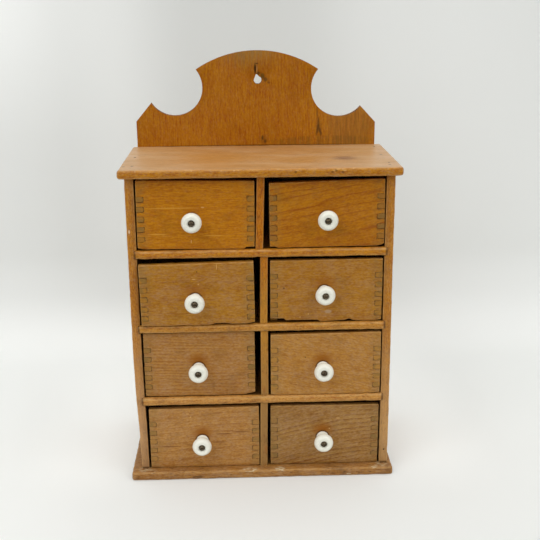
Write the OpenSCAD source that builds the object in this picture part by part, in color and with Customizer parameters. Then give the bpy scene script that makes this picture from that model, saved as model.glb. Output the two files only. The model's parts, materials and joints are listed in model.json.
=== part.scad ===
// Wall spice cabinet: a nailed pine case with a shaped crest and eight finger-jointed drawers.
// Millimetres, +Z up, drawers pull out along -Y. The origin lies on the floor,
// in the middle of the space that the cabinet takes up.

/* [Case] */
// Outside width over the two sides
case_w = 256.2; // [235:0.1:320]
// Depth of a side, from its front edge to the backboard
case_depth = 129; // [100:1:200]
// Thickness of a side
side_t = 8.5; // [7:0.1:10]
// Clear height of each row of drawers, from the top row down
row_h = [71.1, 68.2, 69.7, 71.6]; // [60:0.1:90]
// Thickness of a shelf
shelf_t = 8.1; // [6:0.1:9]
// How deep a shelf end is housed in the side
housing = 2.5; // [1:0.5:3.5]
// How far a shelf's rounded nose stands in front of the sides
nose = 2.5; // [0:0.5:4]
// Rounding of the shelf noses
nose_round = 3; // [1:0.5:3]
// How much the side boards' and dividers' front arrises are rounded
arris = 1.3; // [0.5:0.1:2]
// How far the case stands to the right of the middle of its base
case_shift = 0.7; // [0:0.1:2]

/* [Dividers] */
// Thickness of the upright between two drawers
divider_t = 7.4; // [6:0.1:9]
// Where each divider's middle stands from the middle of the case, from the top row down
divider_x = [-0.9, 2.1, 2.2, 1]; // [-4:0.1:4]
// Lean of each divider to the right at its top, in degrees
divider_lean = [1.6, 0.8, 0, 0.6]; // [-2:0.1:2]

/* [Top and base] */
// How far the top board stands beyond each side
top_ends = 5.5; // [2:0.1:15]
// Thickness of the top board
top_t = 8.4; // [6:0.1:12]
// How far the top board stands in front of the sides
top_overhang = 9; // [4:0.5:15]
// How far the top board lies to the right of the middle of the base
top_shift = 1; // [0:0.1:1.5]
// How far the base board stands beyond each side
base_ends = 6.4; // [2.5:0.1:16]
// Thickness of the base board
base_t = 9.1; // [7:0.1:12]
// How far the base board stands in front of the sides
base_overhang = 9; // [4:0.5:15]
// Rounding of the edges of the top and the base
edge_round = 2.4; // [1:0.1:3]

/* [Backboard and crest] */
// How far each end of the backboard lies inside the sides' outer faces
back_inset = 0.9; // [0:0.1:2]
// Thickness of the backboard
back_t = 7.5; // [6:0.1:10]
// Height of the crest above the top board
crest_h = 99.4; // [90:0.1:120]
// Radius of the crest's top arch
arch_r = 117; // [100:0.5:160]
// How far the arch's middle stands to the right of the cabinet's middle
arch_x = 1; // [-3:0.1:3]
// Radius of the two round cuts, left then right
cut_r = [29.6, 30.1]; // [27:0.1:33]
// Middle of the left round cut: from the board's end, and above the top board
cut_left = [41.2, 62.1]; // [36:0.1:70]
// Middle of the right round cut: from the board's end, and above the top board
cut_right = [38.7, 60.2]; // [36:0.1:70]
// Pointed peak beside the left cut: from the board's end, and above the top board
peak_left = [16.7, 46.8]; // [12:0.1:50]
// Pointed peak beside the right cut: from the board's end, and above the top board
peak_right = [15.9, 41]; // [12:0.1:50]
// Height of the two shoulders above the top board, left then right
shoulder_h = [27.1, 24]; // [10:0.1:40]
// Diameter of the hanging hole
hang_d = 8.2; // [5:0.1:10]
// Middle of the hanging hole: from the cabinet's middle, and above the top board
hang_at = [2, 69]; // [-10:0.1:80]

/* [Drawer fronts] */
// Gap between front and side, left column from the top row down
outer_gap_left = [1.4, 1.4, 1.5, 3.7]; // [0.8:0.1:5]
// Gap between front and side, right column from the top row down
outer_gap_right = [0.9, 1.1, 0.8, 0.8]; // [0.8:0.1:5]
// Gap between front and divider, left column from the top row down
inner_gap_left = [1.5, 5.7, 5.9, 1.2]; // [1.2:0.1:7]
// Gap between front and divider, right column from the top row down
inner_gap_right = [5.3, 2.6, 2.5, 3.1]; // [1.2:0.1:7]
// What each front lacks in height, left column from the top row down
head_gap_left = [4.1, 4.9, 1.2, 4.8]; // [1.2:0.1:8]
// What each front lacks in height, right column from the top row down
head_gap_right = [6.1, 4, 3.6, 5]; // [1.2:0.1:8]
// How much higher each front is at the divider than at the side, left column
taper_left = [-0.8, 0.8, 0.6, 1]; // [-3:0.1:3]
// How much higher each front is at the divider than at the side, right column
taper_right = [-2, -0.6, -1.4, 0.4]; // [-3:0.1:3]
// Roll of each drawer in its opening, in degrees anticlockwise, left column
roll_left = [-0.5, 0.7, 0, 0]; // [-1:0.1:1]
// Roll of each drawer in its opening, in degrees anticlockwise, right column
roll_right = [0.5, 0, 0, -0.2]; // [-1:0.1:1]
// How far each front lies behind the sides' front edges (below 0: in front of them), left column
recess_left = [0.5, -4.4, 2.5, 0.8]; // [-6:0.1:3]
// How far each front lies behind the sides' front edges (below 0: in front of them), right column
recess_right = [0.8, 1, -0.4, 1.2]; // [-6:0.1:3]
// Running gap under a drawer
run_gap = 0.3; // [0.3:0.1:1]

/* [Drawer boxes] */
// Thickness of a drawer's front
front_t = 7; // [6:0.5:9]
// Thickness of a drawer's sides
box_side_t = 7; // [5:0.5:8]
// Thickness of a drawer's back
box_back_t = 7; // [5:0.5:8]
// Least gap behind a drawer when it is pushed in
rear_gap = 0.8; // [0.5:0.1:5]
// Number of fingers on each end of a drawer side
fingers = 5; // [3:1:6]
// Height of one finger
finger_h = 4.8; // [3:0.1:6]
// Distance from one finger to the next
finger_pitch = 9.8; // [8:0.1:10]
// Height of the lowest finger above the drawer's lower edge, left column from the top row down
finger_foot_left = [7.5, 5.5, 8.4, 7.8]; // [3:0.1:9.5]
// Height of the lowest finger above the drawer's lower edge, right column from the top row down
finger_foot_right = [7.5, 6, 6.9, 8.1]; // [3:0.1:9.5]
// Radius of the round inner corners that the cutter left in the sockets
finger_round = 1.8; // [0.5:0.1:2]
// Thickness of the drawer's bottom
bottom_t = 3; // [2:0.1:4]
// Depth of the groove that holds the bottom
groove = 3; // [2:0.5:4]
// Height of the groove above the drawer's lower edge
groove_z = 2.6; // [2:0.1:3]
// Gap in the glued joints and round the bottom
fit = 0.05; // [0.03:0.01:0.1]

/* [Knobs] */
// Widest diameter of the porcelain knob
knob_d = 19.6; // [16:0.1:24]
// Length of the knob in front of the drawer
knob_len = 18.9; // [15:0.1:22]
// Diameter of the knob's foot on the drawer
knob_foot_d = 12.6; // [11:0.1:14]
// Diameter of the knob's neck
knob_neck_d = 10.2; // [9:0.1:11]
// How far from the drawer the knob is widest
knob_wide_at = 14; // [11:0.1:14.5]
// Diameter of the recess for the screw's head
recess_d = 7.4; // [7:0.1:8]
// Depth of the recess for the screw's head
recess_deep = 2.4; // [2.2:0.1:4]
// Diameter of the screw's head
head_d = 6.7; // [6:0.1:6.9]
// Height of the screw's head
head_h = 2.2; // [1.5:0.1:2.5]
// Diameter of the screw's shank
shank_d = 3.5; // [3:0.1:4]
// Length of the screw under its head
screw_len = 22; // [20:0.5:24]
// Clearance round the shank, in the knob's bore and in the pilot hole
screw_fit = 0.15; // [0.1:0.05:0.3]
// How far each knob hangs from the middle of its front, left column, sideways
knob_x_left = [-3.4, -2.1, -1, -2.4]; // [-8:0.1:8]
// How far each knob hangs from the middle of its front, right column, sideways
knob_x_right = [-0.5, -2.2, -3, -2]; // [-8:0.1:8]
// How far each knob hangs from the middle of its front, left column, upwards
knob_z_left = [-4, -4.3, -3.8, -2.8]; // [-8:0.1:8]
// How far each knob hangs from the middle of its front, right column, upwards
knob_z_right = [-2.7, 0, -2.9, -2.2]; // [-8:0.1:8]

/* [Nails] */
// Diameter of a nail
nail_d = 1.5; // [1:0.1:2]
// Length of a nail
nail_len = 25; // [22:0.5:30]
// Diameter of a nail's head
nail_head_d = 2.4; // [2.2:0.1:3.5]
// Thickness of a nail's head
nail_head_h = 0.8; // [0.5:0.1:1]
// Clearance between a nail and its hole
nail_fit = 0.05; // [0.05:0.01:0.1]
// Distance of the first and last nail from the ends of the row that they stand in
nail_end = 18; // [14:0.5:30]

/* [Hidden] */
$fn = 48;
ROWS = [0:3];
COLUMNS = [0:1];
WOOD = "#a8702f";
DARK_WOOD = "#8f5c26";
PALE_WOOD = "#c09060";
PORCELAIN = "#f2f0e8";
IRON = "#4a453e";
PIECES = ["front", "sides", "back", "bottom", "knob", "screw"];
CASE_NODES = ["left_side", "right_side", "top_board", "base_board", "backboard",
    "shelf_1", "shelf_2", "shelf_3", "dividers", "case_nails"];
function drawer_name(row, col) = str("drawer_", row + 1, col == 0 ? "l" : "r");

// Heights that stack up from the floor
function sum(v, upto, i = 0) = i >= upto ? 0 : v[i] + sum(v, upto, i + 1);
side_h = sum(row_h, 4) + 3 * shelf_t;
case_top = base_t + side_h;
top_z = case_top + top_t;
function row_ceiling(row) = case_top - sum(row_h, row) - row * shelf_t;
function row_floor(row) = row_ceiling(row) - row_h[row];

// Widths and depths
inner_half = case_w / 2 - side_t;
top_w = case_w + 2 * top_ends;
base_w = case_w + 2 * base_ends;
back_w = case_w - 2 * back_inset;
shelf_len = 2 * (inner_half + housing) - 2 * fit;
least_recess = min(concat(recess_left, recess_right));
most_recess = max(concat(recess_left, recess_right));
reach = knob_len - least_recess;
mid_y = (case_depth + back_t - reach) / 2;
drawer_len = case_depth - most_recess - rear_gap;

// Everything is drawn with the sides' front edges at y = 0, and then centred
module centred() {
    translate([0, -mid_y, 0]) children();
}

// Values of one drawer, picked from its column's list
function pick(left, right, row, col) = col == 0 ? left[row] : right[row];
function hand(col) = col == 0 ? -1 : 1;
function front_w(row, col) = inner_half - hand(col) * divider_x[row] - divider_t / 2
    - pick(outer_gap_left, outer_gap_right, row, col) - pick(inner_gap_left, inner_gap_right, row, col);
function front_h(row, col) = row_h[row] - run_gap - pick(head_gap_left, head_gap_right, row, col);
function front_x(row, col) = case_shift + hand(col)
    * (inner_half - pick(outer_gap_left, outer_gap_right, row, col) - front_w(row, col) / 2);
function roll(row, col) = pick(roll_left, roll_right, row, col);
function front_z(row, col) = row_floor(row) + run_gap + front_h(row, col) / 2 * cos(roll(row, col))
    + front_w(row, col) / 2 * abs(sin(roll(row, col)));
function finger_foot(row, col) = pick(finger_foot_left, finger_foot_right, row, col);
function box_h(row, col) = finger_foot(row, col) + (fingers - 1) * finger_pitch + finger_h;

// Puts a drawer's piece in its opening: the piece is drawn from the middle of the front's face
module in_opening(row, col) {
    centred()
        translate([front_x(row, col), pick(recess_left, recess_right, row, col), front_z(row, col)])
            rotate([0, -roll(row, col), 0])
                children();
}

// One nail driven along +Z, its head's face at the origin, with room all round it if that is wanted
module nail(room = 0) {
    translate([0, 0, -room]) cylinder(d = nail_head_d + 2 * room, h = nail_head_h + room);
    translate([0, 0, nail_head_h / 2])
        cylinder(d = nail_d + 2 * room, h = nail_len - nail_head_h / 2 + room, $fn = 24);
}

side_x = case_w / 2 - side_t / 2;
nail_ys = [nail_end, case_depth / 2, case_depth - nail_end];

module top_nails(room = 0) {
    for (s = [-1, 1]) for (y = nail_ys)
        translate([case_shift + s * side_x, y, top_z]) rotate([180, 0, 0]) nail(room);
}

module base_nails(room = 0) {
    for (s = [-1, 1]) for (y = nail_ys)
        translate([case_shift + s * side_x, y, 0]) nail(room);
}

module shelf_nails(shelf, room = 0) {
    for (s = [-1, 1]) for (y = [nail_end + nail_head_d * 2, case_depth - nail_end - nail_head_d * 2])
        translate([case_shift + s * case_w / 2, y, row_floor(shelf) - shelf_t / 2])
            rotate([0, -s * 90, 0]) nail(room);
}

module side_back_nails(room = 0) {
    for (s = [-1, 1]) for (row = ROWS)
        translate([case_shift + s * side_x, case_depth + back_t, row_floor(row) + row_h[row] / 2])
            rotate([90, 0, 0]) nail(room);
}

module shelf_back_nails(shelf, room = 0) {
    for (s = [-1, 1])
        translate([case_shift + s * inner_half / 2, case_depth + back_t, row_floor(shelf) - shelf_t / 2])
            rotate([90, 0, 0]) nail(room);
}

module divider_back_nails(room = 0) {
    for (row = ROWS)
        translate([case_shift + divider_x[row], case_depth + back_t, row_floor(row) + row_h[row] / 2])
            rotate([90, 0, 0]) nail(room);
}

module case_nails() {
    color(IRON) centred() {
        top_nails();
        base_nails();
        for (shelf = [0:2]) {
            shelf_nails(shelf);
            shelf_back_nails(shelf);
        }
        side_back_nails();
        divider_back_nails();
    }
}

// A flat board's section with its front corners rounded, length along Y and height along Z
module nosed_section(len, high, r) {
    union() {
        translate([r, 0]) square([len - r, high]);
        translate([0, r]) square([len, high - 2 * r]);
        for (z = [r, high - r]) translate([r, z]) circle(r);
    }
}

// A flat board as wide as w with its section seen from the end, its front face at y = 0
module nosed_board(w, len, high, r) {
    translate([-w / 2, 0, 0]) rotate([90, 0, 90]) linear_extrude(w) nosed_section(len, high, r);
}

// A board whose front and both ends are rounded
module rounded_board(w, len, high, r) {
    intersection() {
        nosed_board(w, len, high, r);
        rotate([90, 0, 0]) translate([0, 0, -len]) linear_extrude(len) {
            for (s = [-1, 1]) for (z = [r, high - r]) translate([s * (w / 2 - r), z]) circle(r);
            translate([-w / 2, r]) square([w, high - 2 * r]);
            translate([-w / 2 + r, 0]) square([w - 2 * r, high]);
        }
    }
}

// An upright board with its two front arrises rounded, thickness along X
module upright(t, len, high, r) {
    linear_extrude(high) {
        translate([-t / 2, r]) square([t, len - r]);
        translate([-t / 2 + r, 0]) square([t - 2 * r, r]);
        for (s = [-1, 1]) translate([s * (t / 2 - r), r]) circle(r);
    }
}

// A side with a housing for each shelf, s is -1 for the left and 1 for the right
module side_board(s) {
    color(WOOD) centred() difference() {
        translate([case_shift + s * side_x, 0, base_t]) upright(side_t, case_depth, side_h, arris);
        for (shelf = [0:2])
            translate([case_shift + s * (inner_half + housing / 2), case_depth / 2,
                row_floor(shelf) - shelf_t / 2]) cube([housing, case_depth + 2, shelf_t + 2 * fit], center = true);
        top_nails(nail_fit);
        base_nails(nail_fit);
        for (shelf = [0:2]) shelf_nails(shelf, nail_fit);
        side_back_nails(nail_fit);
    }
}

module left_side() { side_board(-1); }
module right_side() { side_board(1); }

module shelf_board(shelf) {
    color(WOOD) centred() difference() {
        translate([case_shift, -nose, row_floor(shelf) - shelf_t])
            nosed_board(shelf_len, case_depth + nose, shelf_t, nose_round);
        shelf_nails(shelf, nail_fit);
        shelf_back_nails(shelf, nail_fit);
    }
}

// Each divider leans a little, and its ends are cut level to stand between the shelves
module dividers() {
    color(WOOD) centred() difference() {
        for (row = ROWS) translate([case_shift + divider_x[row], 0, row_floor(row)]) intersection() {
            translate([0, 0, row_h[row] / 2]) rotate([0, divider_lean[row], 0])
                translate([0, 0, -row_h[row]]) upright(divider_t, case_depth, 2 * row_h[row], arris);
            translate([-divider_t * 2, -1, 0]) cube([divider_t * 4, case_depth + 2, row_h[row]]);
        }
        divider_back_nails(nail_fit);
    }
}

module top_board() {
    color(PALE_WOOD) centred() difference() {
        translate([top_shift, -top_overhang, case_top])
            rounded_board(top_w, case_depth + top_overhang, top_t, edge_round);
        top_nails(nail_fit);
    }
}

module base_board() {
    color(DARK_WOOD) centred() difference() {
        translate([0, -base_overhang, 0])
            rounded_board(base_w, case_depth + base_overhang + back_t, base_t, edge_round);
        base_nails(nail_fit);
    }
}

// The board lies flat here, with y = 0 at the top board's upper face. The outline beside each cut
// runs to the cut's middle, so that the cut itself leaves the ears and the peaks sharp.
module crested_board() {
    end = back_w / 2;
    left_cut = [cut_left[0] - end, cut_left[1]];
    right_cut = [end - cut_right[0], cut_right[1]];
    difference() {
        union() {
            linear_extrude(back_t) polygon([[-end, base_t - top_z], [-end, shoulder_h[0]],
                [peak_left[0] - end, peak_left[1]], left_cut, right_cut, [end - peak_right[0], peak_right[1]],
                [end, shoulder_h[1]], [end, base_t - top_z]]);
            intersection() {
                translate([arch_x, crest_h - arch_r, 0]) cylinder(r = arch_r, h = back_t, $fn = 180);
                translate([left_cut[0], 0, 0]) cube([right_cut[0] - left_cut[0], crest_h + 1, back_t]);
            }
        }
        for (cut = [[left_cut, cut_r[0]], [right_cut, cut_r[1]]])
            translate([cut[0][0], cut[0][1], -1]) cylinder(r = cut[1], h = back_t + 2, $fn = 120);
        translate([hang_at[0], hang_at[1], -1]) cylinder(d = hang_d, h = back_t + 2);
    }
}

module backboard() {
    color(WOOD) centred() difference() {
        translate([0, case_depth + back_t, top_z]) rotate([90, 0, 0]) crested_board();
        side_back_nails(nail_fit);
        for (shelf = [0:2]) shelf_back_nails(shelf, nail_fit);
        divider_back_nails(nail_fit);
    }
}

// The fingers at one end of a drawer side, seen from the front of the left-hand side: x runs from
// the side's outer face inwards, z from the drawer's lower edge up. Their inner corners are round.
module finger_ends(foot, room = 0) {
    for (i = [0:fingers - 1]) {
        z = foot + i * finger_pitch - room;
        h = finger_h + 2 * room;
        t = box_side_t + room;
        translate([-room, z]) square([t - finger_round + room, h]);
        translate([0, z + finger_round]) square([t, h - 2 * finger_round]);
        for (c = [z + finger_round, z + h - finger_round])
            translate([t - finger_round, c]) circle(finger_round, $fn = 24);
    }
}

// The fingers through a board that is as thick as t, its near face at y = 0
module finger_row(t, foot, room = 0) {
    translate([0, t, 0]) rotate([90, 0, 0]) linear_extrude(t) finger_ends(foot, room);
}

// Both ends' fingers of a drawer that is as wide as w
module both_finger_rows(w, t, foot, room = 0) {
    for (s = [0, 1]) mirror([s, 0, 0]) translate([-w / 2, 0, 0]) finger_row(t, foot, room);
}

// Room for the screw of a knob that stands on the drawer's face, drawn along +Y
module shank_hole(len) {
    rotate([-90, 0, 0]) cylinder(d = shank_d + 2 * screw_fit, h = len, $fn = 32);
}

function front_outline(w, h, taper, s) = [[-w / 2, 0], [w / 2, 0],
    [w / 2, h - s * taper / 2], [-w / 2, h + s * taper / 2]];

module drawer_front(row, col) {
    w = front_w(row, col);
    h = front_h(row, col);
    taper = pick(taper_left, taper_right, row, col);
    color(WOOD) in_opening(row, col) difference() {
        translate([0, front_t, -h / 2]) rotate([90, 0, 0]) linear_extrude(front_t)
            polygon(front_outline(w, h, taper, hand(col)));
        translate([0, -1, -h / 2]) both_finger_rows(w, front_t + 2, finger_foot(row, col), fit);
        translate([-w / 2 + box_side_t - groove, front_t - groove, -h / 2 + groove_z])
            cube([w - 2 * box_side_t + 2 * groove, groove + 1, bottom_t + 2 * fit]);
        translate([pick(knob_x_left, knob_x_right, row, col), -1, pick(knob_z_left, knob_z_right, row, col)])
            shank_hole(front_t + 2);
    }
}

// The back stands on the bottom, or higher where the lowest finger does
function back_foot(row, col) = max(finger_foot(row, col), groove_z + bottom_t + 2 * fit);

// The pair of side boards, with fingers through the front and the back, and a groove for the bottom
module drawer_sides(row, col) {
    w = front_w(row, col);
    h = front_h(row, col);
    foot = finger_foot(row, col);
    long = drawer_len - front_t - box_back_t;
    color(PALE_WOOD) in_opening(row, col) translate([0, 0, -h / 2]) {
        for (s = [0, 1]) mirror([s, 0, 0]) translate([-w / 2, 0, 0]) difference() {
            union() {
                translate([0, front_t, 0]) cube([box_side_t, long, box_h(row, col)]);
                finger_row(front_t, foot);
                translate([0, drawer_len - box_back_t, 0]) finger_row(box_back_t, foot);
                translate([0, front_t + long, 0]) cube([box_side_t, box_back_t, back_foot(row, col)]);
            }
            translate([box_side_t - groove, front_t - groove, groove_z])
                cube([groove + 1, drawer_len, bottom_t + 2 * fit]);
        }
    }
}

module drawer_back(row, col) {
    w = front_w(row, col);
    h = front_h(row, col);
    color(PALE_WOOD) in_opening(row, col) translate([0, drawer_len - box_back_t, -h / 2]) difference() {
        translate([-w / 2, 0, back_foot(row, col)])
            cube([w, box_back_t, box_h(row, col) - back_foot(row, col)]);
        translate([0, -1, 0]) both_finger_rows(w, box_back_t + 2, finger_foot(row, col), fit);
    }
}

// The thin bottom slides in under the back, along the grooves of the sides and into the front's
module drawer_bottom(row, col) {
    w = front_w(row, col) - 2 * (box_side_t - groove) - 2 * fit;
    h = front_h(row, col);
    color(PALE_WOOD) in_opening(row, col)
        translate([-w / 2, front_t - groove + fit, -h / 2 + groove_z + fit])
            cube([w, drawer_len - front_t + groove - fit, bottom_t]);
}

// The knob's outline from its foot to the rim of the recess: radius, then distance from the drawer.
// The neck swells into the head along a cosine, and the head's face is a quarter of an ellipse.
neck_at = knob_len * 0.22;
function foot_points() = [for (t = [0:0.25:1])
    [knob_neck_d / 2 + (knob_foot_d - knob_neck_d) / 2 * (1 + cos(180 * t)) / 2,
    neck_at * (0.25 + 0.75 * t)]];
function neck_points() = [for (t = [0.1:0.1:1])
    [knob_neck_d / 2 + (knob_d - knob_neck_d) / 2 * (1 - cos(180 * t)) / 2,
    neck_at + (knob_wide_at - neck_at) * t]];
rim_angle = acos((recess_d / 2 + 0.6) / (knob_d / 2));
face_h = (knob_len - knob_wide_at) / sin(rim_angle);
function face_points() = [for (t = [1:10])
    [knob_d / 2 * cos(rim_angle * t / 10), knob_wide_at + face_h * sin(rim_angle * t / 10)]];
seat_at = knob_len - recess_deep;

module porcelain_knob() {
    rotate([90, 0, 0]) difference() {
        rotate_extrude($fn = 64) polygon(concat([[0, 0], [knob_foot_d / 2, 0]],
            foot_points(), neck_points(), face_points(), [[0, knob_len]]));
        translate([0, 0, seat_at]) cylinder(d = recess_d, h = knob_len);
        translate([0, 0, -1]) cylinder(d = shank_d + 2 * screw_fit, h = knob_len, $fn = 32);
    }
}

// A round-headed wood screw with a slot, driven along +Y from the knob's recess
slot_w = 0.9;
slot_h = 1.1;
tip_len = 4;
module knob_screw() {
    dome_r = (head_d * head_d / 4 + head_h * head_h) / (2 * head_h);
    translate([0, -seat_at, 0]) rotate([-90, 0, 0]) {
        difference() {
            union() {
                intersection() {
                    translate([0, 0, dome_r - head_h]) sphere(dome_r, $fn = 48);
                    translate([0, 0, -head_h]) cylinder(d = head_d, h = head_h);
                }
                cylinder(d = shank_d, h = screw_len - tip_len, $fn = 32);
            }
            translate([-head_d, -slot_w / 2, -head_h - 1]) cube([2 * head_d, slot_w, slot_h + 1]);
        }
        translate([0, 0, screw_len - tip_len]) cylinder(d1 = shank_d, d2 = 0.8, h = tip_len, $fn = 32);
    }
}

module at_knob(row, col) {
    in_opening(row, col)
        translate([pick(knob_x_left, knob_x_right, row, col), 0, pick(knob_z_left, knob_z_right, row, col)])
            children();
}

module drawer_piece(row, col, piece) {
    if (piece == "front") drawer_front(row, col);
    if (piece == "sides") drawer_sides(row, col);
    if (piece == "back") drawer_back(row, col);
    if (piece == "bottom") drawer_bottom(row, col);
    if (piece == "knob") color(PORCELAIN) at_knob(row, col) porcelain_knob();
    if (piece == "screw") color(IRON) at_knob(row, col) knob_screw();
}

left_side();
right_side();
top_board();
base_board();
backboard();
shelf_board(0);  // shelf_1
shelf_board(1);  // shelf_2
shelf_board(2);  // shelf_3
dividers();
case_nails();
for (row = ROWS) for (col = COLUMNS) for (piece = PIECES)
    drawer_piece(row, col, piece);
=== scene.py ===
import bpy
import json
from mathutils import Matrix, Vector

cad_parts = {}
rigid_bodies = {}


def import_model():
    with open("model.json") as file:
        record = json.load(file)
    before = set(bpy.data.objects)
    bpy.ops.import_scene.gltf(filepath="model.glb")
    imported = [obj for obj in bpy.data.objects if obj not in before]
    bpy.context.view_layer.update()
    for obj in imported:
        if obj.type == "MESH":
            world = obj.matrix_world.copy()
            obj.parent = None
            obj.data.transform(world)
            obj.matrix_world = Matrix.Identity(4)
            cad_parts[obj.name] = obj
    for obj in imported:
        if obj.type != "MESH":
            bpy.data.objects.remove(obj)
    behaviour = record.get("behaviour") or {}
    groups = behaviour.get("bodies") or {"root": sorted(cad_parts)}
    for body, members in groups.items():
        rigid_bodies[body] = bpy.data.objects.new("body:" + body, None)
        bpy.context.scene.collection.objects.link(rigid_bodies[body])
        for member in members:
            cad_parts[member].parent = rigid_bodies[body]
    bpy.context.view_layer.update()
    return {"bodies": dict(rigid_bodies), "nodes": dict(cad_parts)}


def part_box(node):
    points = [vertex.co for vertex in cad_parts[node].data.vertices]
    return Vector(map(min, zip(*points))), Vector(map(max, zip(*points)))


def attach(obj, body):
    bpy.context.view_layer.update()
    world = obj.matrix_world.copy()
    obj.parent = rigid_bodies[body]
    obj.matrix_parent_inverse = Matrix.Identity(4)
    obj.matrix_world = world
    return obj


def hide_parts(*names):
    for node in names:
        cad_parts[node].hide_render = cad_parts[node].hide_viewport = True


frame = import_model()

import json
import math

import bpy
from mathutils import Vector

# Camera
# It stands a little left of the cabinet's middle and above its crest, and looks down on it, so that
# the top board's upper face shows.
camera_data = bpy.data.cameras.new("camera")
camera_data.lens = 59.16
camera_data.sensor_width = 36
camera = bpy.data.objects.new("camera", camera_data)
camera.location = (-0.0207, -0.8791, 0.4741)
camera.rotation_euler = [math.radians(angle) for angle in (72.952, 0.377, -2.18)]
bpy.context.collection.objects.link(camera)
bpy.context.scene.camera = camera
bpy.context.scene.view_settings.view_transform = "Standard"

# Table and wall
# The cabinet stands on a bare white table that turns up into a pale wall behind it. Both are matt paper
# white without a pattern, the table a little brighter than the wall.
MM = 0.001


def deselect_all():
    bpy.ops.object.select_all(action="DESELECT")


def only(obj):
    deselect_all()
    obj.select_set(True)
    bpy.context.view_layer.objects.active = obj


def place_in_mesh(obj):
    only(obj)
    bpy.ops.object.transform_apply(location=True, rotation=True, scale=True)


def pick_edges(board, wanted):
    """Leaves the board in edit mode with those edges selected whose two ends pass."""
    only(board)
    bpy.ops.object.mode_set(mode="EDIT")
    bpy.ops.mesh.select_mode(type="EDGE")
    bpy.ops.mesh.select_all(action="DESELECT")
    bpy.ops.object.mode_set(mode="OBJECT")
    points = board.data.vertices
    for edge in board.data.edges:
        edge.select = wanted(points[edge.vertices[0]].co, points[edge.vertices[1]].co)
    bpy.ops.object.mode_set(mode="EDIT")


def plain(r, g, b):
    """A colour as the eye names it, 0 to 255, in the linear light that the shader wants."""
    return tuple(((c / 255 + 0.055) / 1.055) ** 2.4 if c > 10 else c / 255 / 12.92 for c in (r, g, b)) + (1,)


class Wire:
    """One socket of a material. Sums are written on it as on a number."""

    def __init__(self, finish, socket):
        self.finish = finish
        self.socket = socket

    def sum(self, operation, *terms):
        return self.finish.node("Math", {"operation": operation}, dict(enumerate(terms)))

    def __add__(self, other):
        return self.sum("ADD", self, other)

    def __sub__(self, other):
        return self.sum("SUBTRACT", self, other)

    def __rsub__(self, other):
        return self.sum("SUBTRACT", other, self)

    def __mul__(self, other):
        return self.sum("MULTIPLY", self, other)

    def __pow__(self, other):
        return self.sum("POWER", self, other)

    def least(self, other):
        return self.sum("MINIMUM", self, other)

    def most(self, other):
        return self.sum("MAXIMUM", self, other)

    def fraction(self):
        return self.sum("FRACT", self)

    def size(self):
        return self.sum("ABSOLUTE", self)

    def step(self, start, end):
        """0 up to start, 1 from end on, smooth between them. start may be the higher one."""
        return self.finish.node("MapRange", {"interpolation_type": "SMOOTHSTEP"}, {0: self, 1: start, 2: end})


class Finish:
    """A material whose nodes are added one call at a time."""

    def __init__(self, name, **constants):
        self.material = bpy.data.materials.new(name)
        self.material.use_nodes = True
        self.tree = self.material.node_tree
        self.shader = self.tree.nodes["Principled BSDF"]
        for socket, value in constants.items():
            self.shader.inputs[socket.replace("_", " ")].default_value = value

    def feed(self, socket, value):
        if isinstance(value, Wire):
            self.tree.links.new(value.socket, socket)
        else:
            socket.default_value = value

    def node(self, kind, settings=None, inputs=None, output=0):
        made = self.tree.nodes.new("ShaderNode" + kind)
        for key, value in (settings or {}).items():
            if key == "stops":
                while len(made.color_ramp.elements) < len(value):
                    made.color_ramp.elements.new(0.5)
                for element, (position, shade) in zip(made.color_ramp.elements, value):
                    element.position = position
                    element.color = (shade, shade, shade, 1)
            else:
                setattr(made, key, value)
        for key, value in (inputs or {}).items():
            self.feed(made.inputs[key], value)
        return Wire(self, made.outputs[output])

    def paint(self, **wires):
        for socket, value in wires.items():
            self.feed(self.shader.inputs[socket.replace("_", " ")], value)

    def mix(self, share, first, second):
        return self.node("Mix", {"data_type": "RGBA"}, {0: share, 6: first, 7: second}, 2)

    def apart(self, vector):
        """The three parts of a vector, by their letters."""
        split = self.tree.nodes.new("ShaderNodeSeparateXYZ")
        self.feed(split.inputs[0], vector)
        return {letter: Wire(self, split.outputs[i]) for i, letter in enumerate("xyz")}


table_wide, table_front, wall_back, wall_high, sweep_radius = 5, -0.72, 0.37, 1.6, 0.12
bpy.ops.mesh.primitive_plane_add(size=1, location=(0, (table_front + wall_back) / 2, 0))
sweep = bpy.context.object
sweep.name = "table_and_wall"
sweep.scale = (table_wide, wall_back - table_front, 1)
place_in_mesh(sweep)
pick_edges(sweep, lambda a, b: min(a.y, b.y) > wall_back - MM)
bpy.ops.mesh.extrude_region_move(TRANSFORM_OT_translate={"value": (0, 0, wall_high)})
bpy.ops.object.mode_set(mode="OBJECT")
pick_edges(sweep, lambda a, b: min(a.y, b.y) > wall_back - MM and max(a.z, b.z) < MM)
bpy.ops.mesh.bevel(offset=sweep_radius, segments=24, affect="EDGES")
bpy.ops.object.mode_set(mode="OBJECT")
bpy.ops.object.shade_smooth()
paper = Finish("table_paper", Roughness=0.8)
spot = paper.apart(paper.node("TexCoord", output=3))
ray = paper.tree.nodes.new("ShaderNodeLightPath")
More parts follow.
